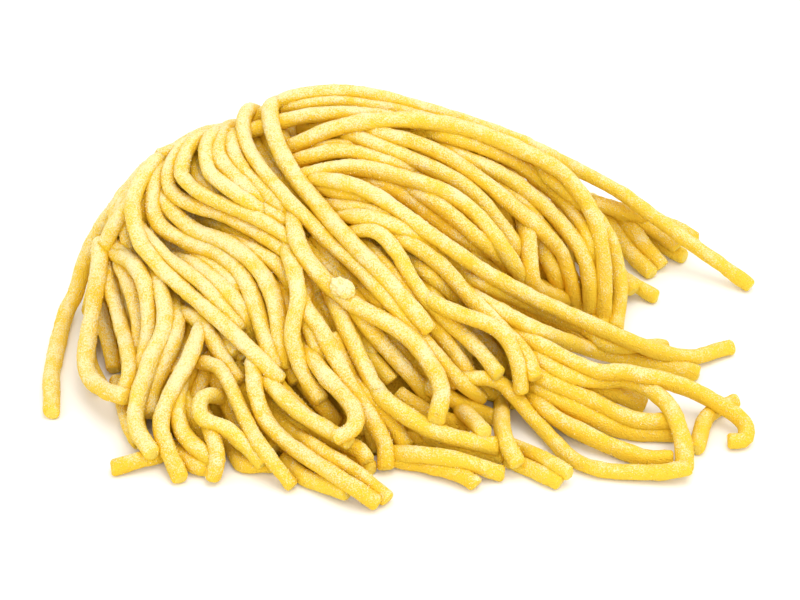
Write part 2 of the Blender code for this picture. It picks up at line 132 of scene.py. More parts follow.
ROUTES = [
    # Right rear, down on to the board
    Route([(43, 8.5, 9), (46.5, 5, 4), (53.5, 0.8)]),
    Route([(43, 10, 8), (45.8, 6, 4), (48.7, 2.2)]),
    Route([(42, 20, 14), (50, 14.2, 3), (59.4, 9.2)]),
    Route([(40, 19.5, 14), (46, 13.7, 5), (48.5, 9.8), (52.7, 5.8)]),
    Route([(40, 21, 16), (46.5, 16.8, 7), (54.8, 7.4)]),
    Route([(39, 21.5, 18), (50, 16.5, 7), (58, 11.3)]),
    Route([(41, 20.5, 18), (56, 16, 5), (62, 12.8)]),
    # Along the left edge and over the top edge
    Route([(-36, 37.4), (-45.9, 32.3), (-57.9, 21.6, 27), (-64.8, 11.6, 16), (-68.3, 1, 5), (-70.3, -3, 1.5),
           (-73, -14.5), (-73.2, -23.5)], (28, 26)),
    Route([(-28, 42.4), (-10, 43.7), (12, 38), (25, 33.4), (35, 28.5, 26), (45, 23.4, 19), (55, 16.3, 11),
           (73.3, 3.2, 1.5)], (204, 26)),
    # Shaded, close behind the two edges
    Route([(-53, 28), (-58.5, 21.3), (-59.8, 16.6), (-56.9, 11.2), (-52, 5.5)], lost=True),
    Route([(-50, 30), (-56, 23.5), (-60.8, 14), (-62.3, 6), (-61.3, -3)], lost=True),
    Route([(-52, 26), (-56.4, 18.5), (-57.5, 13), (-55, 6)], lost=True),
    Route([(-40, 34.3), (-47.5, 30.2), (-55.6, 22), (-61.5, 12.5), (-64, 4), (-65.3, -2)], lost=True),
    Route([(-49, 28), (-53, 22.5), (-54.6, 17), (-53, 10)], lost=True),
    Route([(-40, 35.2), (-43, 31), (-42, 25), (-36, 20)], lost=True),
    Route([(-26, 40), (-10, 41.3), (10, 36.6), (24, 31.6), (33, 27.6)], lost=True),
    # Shaded arcs on the right, low in the heap
    Route([(-27, 36.8), (-20, 38.8), (-8, 39), (4, 36.8), (20, 32.6)], (186, 22), True),
    Route([(4, 36), (14, 33.3), (26, 27.8), (38.5, 15.5), (41.6, 0)], lost=True),
    Route([(28, 28.3), (37.3, 21.2), (43.4, 14), (46.2, 3), (45.3, -6)], lost=True),
    Route([(-12, 34), (-8, 33.9), (12, 25), (20, 17.3), (25.5, 9), (26.2, 5)], lost=True),
    Route([(-24, 28), (-19, 30.2), (-10, 31.2), (4, 26.5)], lost=True),
    Route([(-9, 25.5), (0, 22.6), (10, 15), (22, 8)], lost=True),
    Route([(-20, 23.5), (-15, 23.3), (-6, 20.5), (2, 14.5)], lost=True),
    Route([(-17, 20.5), (-2, 17), (6, 11.5)], lost=True),
    Route([(-14, 18), (-4, 16.6), (6, 11.7), (13, 5.5)], lost=True),
    Route([(-33, 22.5), (-23, 15.5), (-20, 12.5)], lost=True),
    Route([(-37, 13.5), (-26, 7.5), (-22, 1)], lost=True),
    Route([(-60, 12), (-52, 2), (-48.5, -6)], lost=True),
    Route([(-22, 2), (-15, -16), (-12.5, -19.5)], lost=True),
    Route([(-20.5, -17), (-16.5, -21.8), (-13.8, -25.3)], lost=True),
    Route([(-13, 4), (-8, -4.2), (4.5, -18.5), (5.5, -21.5)], lost=True),
    Route([(-9, 4.5), (-6.5, 1.3), (0.5, -4.5)], lost=True),
    Route([(-1, 10.5), (3, 7.8), (15, -2.2)], lost=True),
    Route([(4, -17.5), (12, -21.3), (20.3, -25)], lost=True),
    Route([(9, -13.5), (17, -18.6), (24, -21.4)], lost=True),
    Route([(15, -6), (20.5, -11.5), (24.5, -17)], lost=True),
    Route([(22, -10), (26, -14.4), (30.2, -20.3), (33.5, -25.1), (39, -28.5)], lost=True),
    Route([(3, -27.5), (12, -30.8), (21.5, -32.8)], lost=True),
    Route([(-47, -17), (-43.5, -25), (-40, -31)], lost=True),
    Route([(-40, -12), (-36, -20), (-33, -27)], lost=True),
    Route([(-12, -18), (-7, -25), (-4.5, -31)], lost=True),
    Route([(-29, -12), (-24, -20), (-17, -27)], lost=True),
    # Ends low on the board along the front
    Route([(-59.5, -17), (-56.8, -26.5), (-55, -30)]),
    Route([(-48, -31), (-43, -34.8), (-40.5, -35.3)]),
    Route([(-24, -33.5), (-20.5, -37), (-11.5, -40.3)]),
    Route([(-36.5, -28), (-33.3, -34.2), (-26.5, -34.6)]),
    Route([(-1, -33.5), (11, -36), (15.7, -38.6)]),
    Route([(23, -33.6), (28, -35.7), (33.3, -38.2)]),
    Route([(-47.5, -31.5), (-53.5, -33.3), (-60, -35.2)]),
    # Left side, hanging to the board
    Route([(-64, 1), (-60.8, -10.5), (-60.2, -14.3)]),
    Route([(-58.5, 7), (-55.7, 0), (-54.6, -8), (-56, -17)]),
    Route([(-60, 10), (-54.6, 5.8), (-52.7, -6.5), (-56.5, -21)]),
    Route([(-48.5, 3), (-47, -6.5), (-52.2, -19), (-52.4, -23.8)]),
    Route([(-52, 6), (-50.2, 2), (-49.4, -5.5), (-52.6, -13.2), (-55.7, -25), (-52.3, -32)]),
    Route([(-63, 10), (-57, -12), (-57.9, -19.7)]),
    Route([(-63, 12), (-63.6, 4), (-66, -13.5), (-62.6, -18.6), (-58, -20.3)]),
    Route([(-45, -14), (-46.8, -22), (-45, -28.8), (-38, -34.6)]),
    Route([(-41.8, -22.5), (-38.5, -32), (-39.4, -37)]),
    Route([(-40, -4.5), (-38, -7), (-34.6, -11.2)]),
    Route([(-46, -2.5), (-41.8, -5), (-34, -17)]),
    Route([(-41.5, -4.5), (-44, -11.5), (-50.2, -25.5), (-46.3, -37.2)]),
    Route([(-19, -27.5), (-9, -31.3), (-7.2, -33.5)]),
    # Low fan on the right, nearly flat on the board
    Route([(24, -16.5), (33, -25), (49, -32.5), (56.7, -33.4)]),
    Route([(22, -30), (29, -32.8), (35.2, -36.3)]),
    Route([(24, -13), (30, -19), (46, -27), (57.3, -28)]),
    Route([(23, -9.5), (29, -15.8), (41, -21.5), (49, -25.2), (57, -25.5)]),
    Route([(36, -16.5), (47, -20.3), (50.8, -22)]),
    Route([(70.2, -21.3), (64.7, -24.3), (62.3, -31)]),
    Route([(20, -5), (32, -14.5), (40, -16.9), (48, -16.9), (55.5, -21), (59.2, -28.5), (59.8, -35.4)]),
    Route([(17, -1.5), (24, -6.6), (40, -14.6), (48, -15.3), (60, -18.4), (71.5, -24.8), (72.6, -29.3),
           (69.6, -29.7)]),
    Route([(12, 3.5), (33, -4.8), (41, -9.4), (50, -11)]),
    Route([(13, 1.8), (34, -8.4), (62.2, -15.3)]),
    # Arcs from the crest round to the right
    Route([(6, 33.5), (25, 24), (38, 10.4), (40.5, -5)], lost=True),
    Route([(28.6, 14), (31.3, 8), (34, 2)], lost=True),
    Route([(0, 24.3), (8, 20), (25, 5.5)], lost=True),
    Route([(-24, 24.5), (-15, 27.4), (-5, 27.2), (14, 19.8), (29, 0)], lost=True),
    Route([(25, 20), (27, 12.5), (27.5, 4.8), (29.3, 2), (34.8, 0)], lost=True),
    Route([(-8, 36), (5, 32.4), (15, 26.7), (31.2, 13.2), (35, 7), (37.5, -3)], lost=True),
    Route([(-27, 30.5), (-10, 37), (10, 36.9), (30, 29.3), (37.5, 23), (41.7, 14.5), (43, 3),
           (42.6, -6)], lost=True),
    Route([(11, 6.2), (37, -5.2), (44, -9.6), (55.4, -9.7)]),
    Route([(-20, 25.5), (-12, 24.7), (-4, 21.3), (16, 7.1), (32, -1.4), (57, -11.6), (69.3, -9.9)]),
    Route([(-3, 14.5), (7.5, 8.3), (16, -0.9), (25, -9.8), (28.5, -16)]),
    # Left flank, from the crest down and round to the front
    Route([(-47, 11), (-35, 3.6), (-31.8, -3.5)], lost=True),
    Route([(-47.5, 9), (-42, 6.3), (-33.8, -1), (-30.5, -8.5)], lost=True),
    Route([(-51, 25), (-50, 20.5), (-43.5, 14.8), (-36.2, 11.9), (-30, 6.8), (-26.2, -0.5),
           (-24.5, -14)], (88, 28)),
    Route([(-49.5, 29.5), (-51.8, 26), (-51.3, 16.8), (-44.7, 12.2), (-37.5, 9.3), (-32, 3),
           (-26.5, -14)], (78, 28)),
    Route([(-56, 19), (-54.6, 15), (-49, 9), (-41.5, 3.3), (-33.5, -6)]),
    Route([(-35.3, 35.5), (-36, 31.5), (-31.5, 25.5), (-22.5, 17.5)], (66, 30), True),
    Route([(-36, 37), (-38.5, 31), (-34, 25), (-27.5, 19.8)], (68, 32), True),
    Route([(-43.5, 34.3), (-48.8, 28.5), (-47, 21.7), (-34.5, 16.8), (-20.5, 8)], (80, 34)),
    Route([(-41.5, 35), (-44.3, 33.3), (-46.4, 27.3), (-41.5, 22.2), (-29, 16.7), (-22, 12)], (76, 34)),
    Route([(-39, 35.8), (-41.6, 33.6), (-40.2, 27), (-28, 18)], (72, 34), True),
    Route([(-50, 30.8), (-55.6, 24), (-55.5, 14.5), (-50.8, 7.3), (-36, -6), (-25.3, -16.6)], (84, 30)),
    # Front left, out to the longest ends
    Route([(-36.3, -20.6), (-41.5, -20.2), (-41.6, -24.8), (-36.3, -27.2), (-29, -34)]),
    Route([(-42, -13.2), (-39, -13.6), (-36.5, -16.3), (-31, -28), (-23, -38.7)]),
    Route([(-29, -16), (-21, -23.6), (-11, -29.8)]),
    Route([(-22, -28.5), (-9.7, -36), (-2.9, -41.5)]),
    Route([(-31, -13), (-29.8, -21.5), (-25, -29), (-5.2, -42.4)]),
    # Front middle
    Route([(-11.5, -15.5), (-3, -24.6), (1.2, -30.6)]),
    Route([(-16, 4), (-7, -15), (-3.4, -20.5)]),
    Route([(-6, -18.5), (1, -24), (9, -28.2), (20, -30.6)]),
    Route([(12.5, -22.5), (14.5, -24.6), (17.5, -27.5)]),
    Route([(-4, -32), (9, -33), (21.2, -36.4)]),
    Route([(-22.6, 5.5), (-19.6, -2.2), (-17, -5.6), (-10.8, -17.3), (-3.7, -29), (-3, -35)]),
    Route([(-20.5, -9), (-16, -15.7), (-10.2, -22), (-9.2, -25.2), (-10.7, -27.8), (-13.4, -28.8)]),
    Route([(-24, 12), (-21.3, 1.2), (-22.7, -6.3), (-20.8, -14.6), (-16.7, -20.7)]),
    # Uppermost strands, crossing the rest
    Route([(-10, 13), (-4.5, 8.5), (8.4, -7), (16, -17.8)]),
    Route([(8.5, -17.5), (20, -16.8), (29, -26), (38.5, -34.6), (53, -36.3), (60.3, -35.2)]),
    Route([(-12, 12.5), (-10.5, 14), (-5.4, 14.7), (-0.8, 10.3), (3.2, 3.3), (8.6, -3.3), (15.3, -9.2),
           (20.6, -15.4)]),
    Route([(4.5, 1), (10.5, -2.2), (20.7, -6.3), (24.6, -12.8), (25.5, -19)]),
    Route([(21.3, -21.5), (21.6, -28), (24.6, -34.3)]),
    Route([(-31, 41.6), (-33, 40.3), (-33.5, 36.8), (-29.5, 28), (-16, 13.3), (-8.5, 6.3), (5.5, -9),
           (12.5, -17), (16.8, -20.4)], (74, 36)),
    Route([(-22.8, 18), (-21, 11), (-16, 4.2), (-10, -0.7), (2, -7.8), (8.6, -18), (7.6, -25)]),
    Route([(-27.5, 42.2), (-28, 39.5), (-23.8, 28.5), (-14.3, 16.6), (-4, 5.6), (6, -6)], (62, 38)),
]
print(len(ROUTES), "strands that show,", sum(1 for route in ROUTES if route.over), "of them come over the crest")

# %% [markdown]
# ## The mound
#
# Real strands pile up on each other; the inside of the heap can't be seen, so a smooth mound takes its
# place there. It is a dome at the back and sides and runs out in a long easy slope in front, where the
# hank was let down towards the eye. An inset gives the same form a few millimetres further in, for the
# core and for the strands that lie under the ones that show.


# %% The mound's height
def mound_height(x, y, inset=0.0):
    """Height of the mound over the board, or of a surface inset from it."""
    ahead = PEAK_Y - y
    waist = np.clip(ahead / WAIST_RUN, 0, 1)
    right = REACH_RIGHT - inset - WAIST_RIGHT * waist * waist * (3 - 2 * waist)
    u = np.where(x < PEAK_X, (PEAK_X - x) / (REACH_LEFT - inset), (x - PEAK_X) / right)
    v = np.where(ahead > 0, ahead / (REACH_FRONT - inset), -ahead / (REACH_BACK - inset))
    out = np.hypot(u, v)
    dome = 1 - out * out
    slope = np.where(out < 1, (1 - out) ** 2 * (1 + 2 * out), dome)
    share = np.where(ahead > 0, v * v / np.maximum(out * out, 1e-9), 0.0)
    return (PEAK - inset) * (share * slope + (1 - share) * dome)


print("top of the mound", float(mound_height(PEAK_X, PEAK_Y)), "mm, of the core", PEAK - CORE_INSET)

# %% [markdown]
# ## How a strand lies
#
# Fresh pasta is soft but it isn't a thread: it lies on whatever is under it, bridges gaps that are
# narrower than its own bends, and squeezes a little where two strands cross. A strand that shows slides
# away from the eye along the lines of sight through its route until it touches the mound, a strand that
# is already there, or the board. That keeps its place in the picture exact, and finds its depth. A hidden
# strand is simply dropped from above. Physics would settle them too, but not in the order and the curves
# of the photograph.

# %% Laying rules
GRAZE_REACH = 16.0
GRAZE_LOWEST = 18.0
SIGHT_RANGE = 140.0
SIGHT_SAMPLES = 900
ABOVE = 120.0
DIVE = 0.78
SINK = 4.0
SINK_RUN = 9.0


def even(line, step=LAY_STEP):
    """The same line with its points a step apart."""
    run = np.concatenate([[0], np.cumsum(np.linalg.norm(np.diff(line, axis=0), axis=1))])
    at = np.linspace(0, run[-1], max(4, int(round(run[-1] / step)) + 1))
    return np.column_stack([np.interp(at, run, line[:, k]) for k in range(line.shape[1])])


def smooth_curve(points, step=LAY_STEP):
    """Even points on the Catmull-Rom curve through a route's points."""
    p = np.asarray(points, float)
    ends = np.vstack([2 * p[0] - p[1], p, 2 * p[-1] - p[-2]])
    s = np.linspace(0, 1, 20, endpoint=False)[:, None]
    pieces = []
    for a, b, c, d in zip(ends, ends[1:], ends[2:], ends[3:]):
        bend = (2 * a - 5 * b + 4 * c - d) * s**2 + (3 * b - a - 3 * c + d) * s**3
        pieces.append(b + 0.5 * ((c - a) * s + bend))
    return even(np.vstack(pieces + [p[-1:]]), step)


def soften(values, times):
    """Averages each value with its neighbours, but leaves the two ends."""
    values = values.copy()
    for _ in range(times):
        values[1:-1] = (values[:-2] + 2 * values[1:-1] + values[2:]) / 4
    return values


def settle(limit, fixed, times):
    """How far a stiff strand slides: never past its limit, and bridging gaps narrower than its bends."""
    depth = np.where(np.isfinite(fixed), fixed, limit)
    for _ in range(times):
        depth = np.minimum(limit, soften(depth, 2))
        depth = np.where(np.isfinite(fixed), fixed, depth)
    return soften(depth, 4)


def reach_strands(laid, start, aim):
    """Distance along each line at which a strand's middle comes to rest on a strand that is there."""
    if not laid:
        return np.full(len(start), np.inf)
    away = np.vstack(laid)[None] - start[:, None]
    along = (away * aim[:, None]).sum(2)
    aside = (away**2).sum(2) - along**2
    touch = along - np.sqrt(np.clip(PRESSED**2 - aside, 0, None))
    return np.where(aside < PRESSED**2, touch, np.inf).min(1)


def reach_mound(start, aim, inset):
    """Distance along each line of sight to the mound, to where it grazes the crest, or to the board."""
    lift = RADIUS - SUNK
    board = (RADIUS + BOARD_GAP - start[:, 2]) / aim[:, 2]
    far = np.linspace(board.min() - SIGHT_RANGE, board.max(), SIGHT_SAMPLES)
    spot = start[:, None] + aim[:, None] * far[None, :, None]
    over = spot[..., 2] - mound_height(spot[..., 0], spot[..., 1], inset) - lift
    over = np.where(spot[..., 2] >= RADIUS, over, np.inf)
    row = np.arange(len(start))
    hit = (over <= 0).any(1)
    first = far[np.argmax(over <= 0, axis=1)]
    nearest = np.argmin(np.where(spot[..., 2] > GRAZE_LOWEST, over, np.inf), axis=1)
    grazes = ~hit & (over[row, nearest] < GRAZE_REACH)
    return np.where(hit, first, np.where(grazes, far[nearest], board))


def spread_heights(route, flat):
    """Heights given at neighbouring route points, spread along the curve between them."""
    heights = np.full(len(flat), np.nan)
    spots = [int(np.argmin(((flat - point[:2]) ** 2).sum(1))) for point in route]
    for (one, start), (other, stop) in zip(zip(route, spots), zip(route[1:], spots[1:])):
        if len(one) == 3 and len(other) == 3:
            heights[start : stop + 1] = np.linspace(one[2], other[2], stop - start + 1)
    return heights


def sink_ends(flat, start, end):
    """How much further a strand goes in near an end that is lost under others."""
    run = np.concatenate([[0], np.cumsum(np.linalg.norm(np.diff(flat, axis=0), axis=1))])
    depth = np.zeros(len(flat))
    for wanted, away in ((start, run), (end, run[-1] - run)):
        if wanted:
            depth += SINK * np.clip(1 - away / SINK_RUN, 0, 1) ** 2
    return depth


def lay_along_sight(laid, route, inset=0.0, sunk=(False, False)):
    """Lays a strand along the lines of sight through its route."""
    flat = smooth_curve([point[:2] for point in route])
    place = AIM + flat[:, :1] * ACROSS + flat[:, 1:] * UPWARD
    aim = (place - EYE) / np.linalg.norm(place - EYE, axis=1)[:, None]
    start = np.repeat(EYE[None], len(flat), 0)
    limit = np.minimum(reach_mound(start, aim, inset), reach_strands(laid, start, aim))
    fixed = (spread_heights(route, flat) - EYE[2]) / aim[:, 2]
    board = (RADIUS + BOARD_GAP - EYE[2]) / aim[:, 2]
    depth = np.minimum(settle(limit, fixed, 40) + sink_ends(flat, *sunk), board)
    return even(start + aim * depth[:, None])


def lay_from_above(laid, plan, inset=0.0):
    """Drops a strand straight down on its plan."""
    flat = smooth_curve(plan)
    start = np.column_stack([flat, np.full(len(flat), ABOVE)])
    aim = np.repeat(np.array([[0.0, 0.0, -1.0]]), len(flat), 0)
    ground = mound_height(flat[:, 0], flat[:, 1], inset) + RADIUS - SUNK
    limit = np.minimum(ABOVE - np.maximum(ground, RADIUS + BOARD_GAP), reach_strands(laid, start, aim))
    depth = settle(limit, np.full(len(flat), np.nan), 25)
    return even(start + aim * depth[:, None])


def walk(x, y, turn, length, bend=0.0, step=6.0):
    """A plan that sets off in a direction and bends steadily."""
    plan = [(x, y)]
    for _ in range(round(length / step)):
        turn += bend * step
        x += math.cos(turn) * step
        y += math.sin(turn) * step
        plan.append((x, y))
    return plan


def lay_over_crest(laid, line, over):
    """Carries a strand on behind the crest, where it drops out of sight, and eases the join."""
    turn, length = over
    plan = walk(line[0][0], line[0][1], math.radians(turn), length, 0.003)[::-1]
    behind = lay_from_above(laid, plan)
    lowest = RADIUS + BOARD_GAP
    ceiling = line[0][2] - DIVE * np.maximum(behind[:, 1] - line[0][1], 0)
    behind[:, 2] = np.clip(behind[:, 2], lowest, np.maximum(ceiling, lowest))
    whole = np.vstack([behind[:-1], line])
    join = len(behind) - 1
    near = slice(max(0, join - 9), join + 9)
    whole[near] = soften(whole[near], 14)
    return even(whole)


# %% [markdown]
# ## The strands nobody sees from the front
#
# The rear of the hank and the layer just under the shown strands decide whether the gaps look deep and
# whether the heap still looks like pasta from behind. The rear is a fan of strands from the crest to the
# board, the same ones the solid has, over a lower layer. Under each shown strand lies a twin of it, set
# to one side and a little shorter. A hidden strand is cut back to the part that stays inside the
# outline seen from the front.

# %% Plans of the hidden strands
CROWN = [
    (-75, -30), (-66, 0), (-62, 17), (-56, 25), (-48, 32), (-40, 36.5), (-31, 41), (-24, 42.3),
    (-15, 42.8), (-5, 41.5), (6, 38.3), (18, 35), (30, 30.3), (36, 26), (42, 19.5), (45.5, 12),
    (46, 0), (48, -6), (75, -20),
]
GAPS = [(26, -27.5, 2.6), (36.5, -6.3, 1.5), (53, -22.6, 1.2), (48.5, -31.3, 1.4), (58, 8, 4.0), (42, 22.5, 2.0)]
HEART = np.array([-8.0, -2.0])
BACK_COUNT = 27
BACK_FIRST_X = 22.0
BACK_SPREAD = 60.0
BACK_FIRST_TURN = -8.0
BACK_SWEEP = 160.0
LOWER_COUNT = 64
BED_INSET = 2.6
BED_FOOT = -2.0


def back_plans(rng):
    """Plans of the strands behind the crest, fanned from the right round to the left."""
    plans = []
    for k in range(BACK_COUNT):
        u = (k + 0.5) / BACK_COUNT
        turn = math.radians(BACK_FIRST_TURN + BACK_SWEEP * u + rng.uniform(-10, 10))
        x = BACK_FIRST_X - BACK_SPREAD * u + rng.uniform(-3, 3)
        y = PEAK_Y + rng.uniform(-2, 8)
        length = 28 + 13 * abs(math.cos(turn)) + rng.uniform(-4, 5)
        plans.append(walk(x, y, turn, length, rng.uniform(-0.011, 0.011)))
    rng.shuffle(plans)
    return plans


def lower_plans(rng):
    """Plans of the lower layer: both flanks, then the rear."""
    plans = []
    for _ in range(9):
        x, y = PEAK_X - rng.uniform(12, 36), PEAK_Y + rng.uniform(-2, 12)
        turn = math.radians(rng.uniform(145, 195))
        plans.append(walk(x, y, turn, rng.uniform(38, 50), rng.uniform(0.008, 0.022)))
    for _ in range(13):
        x, y = PEAK_X + rng.uniform(12, 38), PEAK_Y + rng.uniform(-2, 9)
        turn = math.radians(rng.uniform(-12, 30))
        plans.append(walk(x, y, turn, rng.uniform(34, 50), rng.uniform(-0.024, -0.008)))
    for k in range(LOWER_COUNT):
        u = (k + 0.5 + rng.uniform(-0.4, 0.4)) / LOWER_COUNT
        turn = math.radians(14 + 148 * u + rng.uniform(-15, 15))
        x = PEAK_X + 30 - 56 * u + rng.uniform(-4, 4)
        y = PEAK_Y + 3 + rng.uniform(-6, 8)
        length = 28 + 14 * abs(math.cos(turn)) + rng.uniform(-6, 7)
        plans.append(walk(x, y, turn, length, rng.uniform(-0.011, 0.011)))
    rng.shuffle(plans)
    return plans


def covered(line, foot=12.0):
    """The longest stretch of a hidden strand that stays low in the heap and inside its seen outline."""
    away = line - EYE
    scale = EYE_DISTANCE / (away @ (AIM - EYE) * (1 / EYE_DISTANCE))
    across, up = away[:, 0] * scale, (away @ UPWARD) * scale
    unseen = (up < np.interp(across, *zip(*CROWN)) - 1.0) & (across > -66) & (across < 62)
    surface = mound_height(line[:, 0], line[:, 1])
    low = (line[:, 2] < np.maximum(surface, 0) + 2 * RADIUS) & (surface > -foot)
    for gap_across, gap_up, size in GAPS:
        unseen &= np.hypot(across - gap_across, up - gap_up) > size + RADIUS
    edges = np.flatnonzero(np.diff(np.concatenate([[0], unseen & low, [0]])))
    runs = list(zip(edges[::2], edges[1::2]))
    if not runs:
        return line[:0]
    start, stop = max(runs, key=lambda run: run[1] - run[0])
    return line[start:stop]


def twin(points, side, near, far, rng):
    """Route of the strand under a shown one: beside it, a little shorter and drawn towards the middle."""
    flat = smooth_curve([point[:2] for point in points], 3.0)
    if len(flat) < 7:
        return None
    along = np.gradient(flat, axis=0)
    along /= np.linalg.norm(along, axis=1)[:, None]
    moved = flat + side * rng.uniform(near, far) * np.column_stack([-along[:, 1], along[:, 0]])
    moved += 0.03 * (HEART - moved)
    return moved[2:-2:2].tolist()


# %% Lay every strand
back, under, bed, shown, laid = [], [], [], [], []
rng = random.Random(SEED)
rear_layers = ((lower_plans(random.Random(SEED + 1)), CORE_INSET, 12.0), (back_plans(rng), 0.0, 200.0))
for plans, inset, foot in rear_layers:
    for plan in plans:
        line = covered(lay_from_above(laid, plan, inset), foot)
        if len(line) > 8:
            back.append(line)
            laid.append(line)
for side in (-1, 1):
    for route in ROUTES:
        beside = None if any(len(point) == 3 for point in route.points) else twin(route.points, side, 1.0, 2.2, rng)
        if beside:
            line = covered(lay_along_sight(laid, beside, CORE_INSET), 14.0)
            if len(line) > 8:
                under.append(line)
                laid.append(line)
for side in (-1, 1):
    for route in ROUTES:
        beside = None if any(len(point) == 3 for point in route.points) else twin(route.points, side, 2.4, 4.2, rng)
        if beside:
            line = covered(lay_along_sight([], beside, BED_INSET), BED_FOOT)
            if len(line) > 8:
                bed.append(line)
for route in ROUTES:
    line = lay_along_sight(laid, route.points, sunk=(not route.over, route.lost))
    if route.over:
        line = lay_over_crest(laid, line, route.over)
    shown.append(line)
    laid.append(line)
for name, group in (("back", back), ("under", under), ("bed", bed), ("shown", shown)):
    spots = np.vstack(group)
    total = sum(np.linalg.norm(np.diff(line, axis=0), axis=1).sum() for line in group)
    print(name, len(group), "strands,", round(total), "mm,", spots.min(0).round(1), spots.max(0).round(1))

# %% [markdown]
# ## Making a strand
#
# A strand is pressed through a die and cut, so it is one round section drawn along a line, with a blunt
# cut at each end. The section here is a circle whose edge is extruded from ring to ring, carried along
# without twisting, slightly oval, and narrowed at both ends for the soft rim of the cut. The fresh dough
# isn't quite even: the surface swells and sinks by a tenth of a millimetre over 5 mm, and again over
# 1.5 mm where flour cakes on it. The cut faces keep a slot of their own, for they have no flour.

# %% Strand builder
THICKEST = 1.24
THINNEST = 1.05
RIMS = ((0.25, 0.96), (0.50, 0.87), (0.68, 0.70))
SWELL = ((5.0, 0.22), (1.5, 0.16))


def ring_frames(line, step, rng):
    """Places and directions of a strand's rings, the first and last ones narrowed for the cuts."""
    line = even(line, step)
    ahead = soften(np.gradient(line, axis=0), 1)
    side = Vector((0, 0, 1)).cross(Vector(ahead[0]))
    frames = []
    for place, aim in zip(line, ahead):
        aim = Vector(aim).normalized()
        side = (side - aim * side.dot(aim)).normalized()
        frame = Matrix((side, aim.cross(side), aim)).transposed().to_4x4()
        frames.append(Matrix.Translation(place) @ frame)
    first, last = frames[0], frames[-1]
    tilt = Matrix.Rotation(rng.uniform(-0.2, 0.2), 4, "X")
    for out, share in RIMS:
        narrowed = Matrix.Diagonal((share, share, 1, 1))
        frames.insert(0, first @ Matrix.Translation((0, 0, -out)) @ tilt @ narrowed)
        frames.append(last @ Matrix.Translation((0, 0, out)) @ tilt @ narrowed)
    return frames


def make_strand(line, sides, step, rng):
    """One strand as a closed mesh in millimetres, its two cut faces in the second slot."""
    bm = bmesh.new()
    frames = ring_frames(line, step, rng)
    radius = RADIUS * rng.uniform(THINNEST, THICKEST)
    section = Matrix.Rotation(rng.uniform(0, math.pi), 4, "Z") @ Matrix.Diagonal((1.04, 0.96, 1, 1))
    bmesh.ops.create_circle(bm, segments=sides, radius=radius, matrix=frames[0] @ section)
    rim = bm.edges[:]
    for here, there in zip(frames, frames[1:]):
        grown = bmesh.ops.extrude_edge_only(bm, edges=rim)["geom"]
        rim = [item for item in grown if isinstance(item, bmesh.types.BMEdge)]
        ring = [item for item in grown if isinstance(item, bmesh.types.BMVert)]
        bmesh.ops.transform(bm, matrix=there @ here.inverted(), verts=ring)
    for face in bm.faces:
        face.smooth = True
    for face in bmesh.ops.holes_fill(bm, edges=bm.edges, sides=0)["faces"]:
        face.material_index = 1
    bmesh.ops.recalc_face_normals(bm, faces=bm.faces)
    bm.normal_update()
    for vert in bm.verts:
        swell = sum(height * noise.noise(vert.co / size) for size, height in SWELL)
        vert.co += vert.normal * swell
    for vert in bm.verts:
        vert.co.z = max(vert.co.z, BOARD_GAP)
    return bm


def finish_piece(bm, name, materials):
    """Moves a piece from the drawing's millimetres to the frame, and makes it an object with its finish."""
    bmesh.ops.transform(bm, matrix=Matrix.Scale(METRE, 4) @ Matrix.Translation(-MIDDLE), verts=bm.verts)
    mesh = bpy.data.meshes.new(name)
    bm.to_mesh(mesh)
    bm.free()
    for material in materials:
        mesh.materials.append(material)
    piece = bpy.data.objects.new(name, mesh)
    bpy.context.scene.collection.objects.link(piece)
    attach(piece, "root")
    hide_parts("pasta_nest")
    return piece


def make_bundle(lines, name, sides, step, materials, rng):
    """Many strands joined into one piece, each with a tone of its own on its points."""
    whole = bmesh.new()
    tones = []
    for line in lines:
        strand = make_strand(line, sides, step, rng)
        tones += [rng.random()] * len(strand.verts)
        loose = bpy.data.meshes.new("strand")
        strand.to_mesh(loose)
        strand.free()
        whole.from_mesh(loose)
        bpy.data.meshes.remove(loose)
    piece = finish_piece(whole, name, materials)
    tone = piece.data.attributes.new("tone", "FLOAT", "POINT")
    tone.data.foreach_set("value", tones)
    triangles = sum(len(face.vertices) - 2 for face in piece.data.polygons)
    print(name, len(lines), "strands,", triangles, "triangles")
    return piece


# %% [markdown]
# ## Finish of the dough
#
# Durum wheat and egg give a strong yellow that turns to deep gold where light has passed through it, so
# the shader lets some light in under the surface. On top lies semolina and flour, nearly white, in soft
# patches a few millimetres wide and in single grains of about a third of a millimetre. Both are drawn by
# noise in the piece's own space, at those true sizes. The left side took more flour than the right, and
# upward faces took more than undersides; that mask is also pushed further, so that it paints pale lit
# tops and deeper gold shaded sides as painted light and shade. Creases get a deeper gold as painted
# shade. The grains also stand up a little, as relief. In a picture this gives a dry, velvety, speckled
# surface in place of a plastic one.


# %% Colour and node helpers
def paint(code):
    """An sRGB hex colour as the linear values that a shader takes."""
    parts = [int(code[k : k + 2], 16) / 255 for k in (1, 3, 5)]
    return (*[c / 12.92 if c <= 0.04045 else ((c + 0.055) / 1.055) ** 2.4 for c in parts], 1.0)


def per_mm(size):
    """Scale of a noise whose patches are this many millimetres wide, for coordinates in metres."""
    return 1 / (size * METRE)


def add(tree, kind, settings=(), inputs=(), out=None):
    """Adds a shader node, makes its settings, sets or links its inputs, and gives back an output."""
    made = tree.nodes.new(kind)
    for name, value in dict(settings).items():
        setattr(made, name, value)
    for name, value in dict(inputs).items():
        socket = next(s for s in made.inputs if name in (s.identifier, s.name))
        if isinstance(value, bpy.types.NodeSocket):
            tree.links.new(value, socket)
        else:
            socket.default_value = value
    return next(s for s in made.outputs if out in (None, s.identifier, s.name))


# %% Materials
LEFT_EDGE = -0.060
RIGHT_EDGE = 0.040


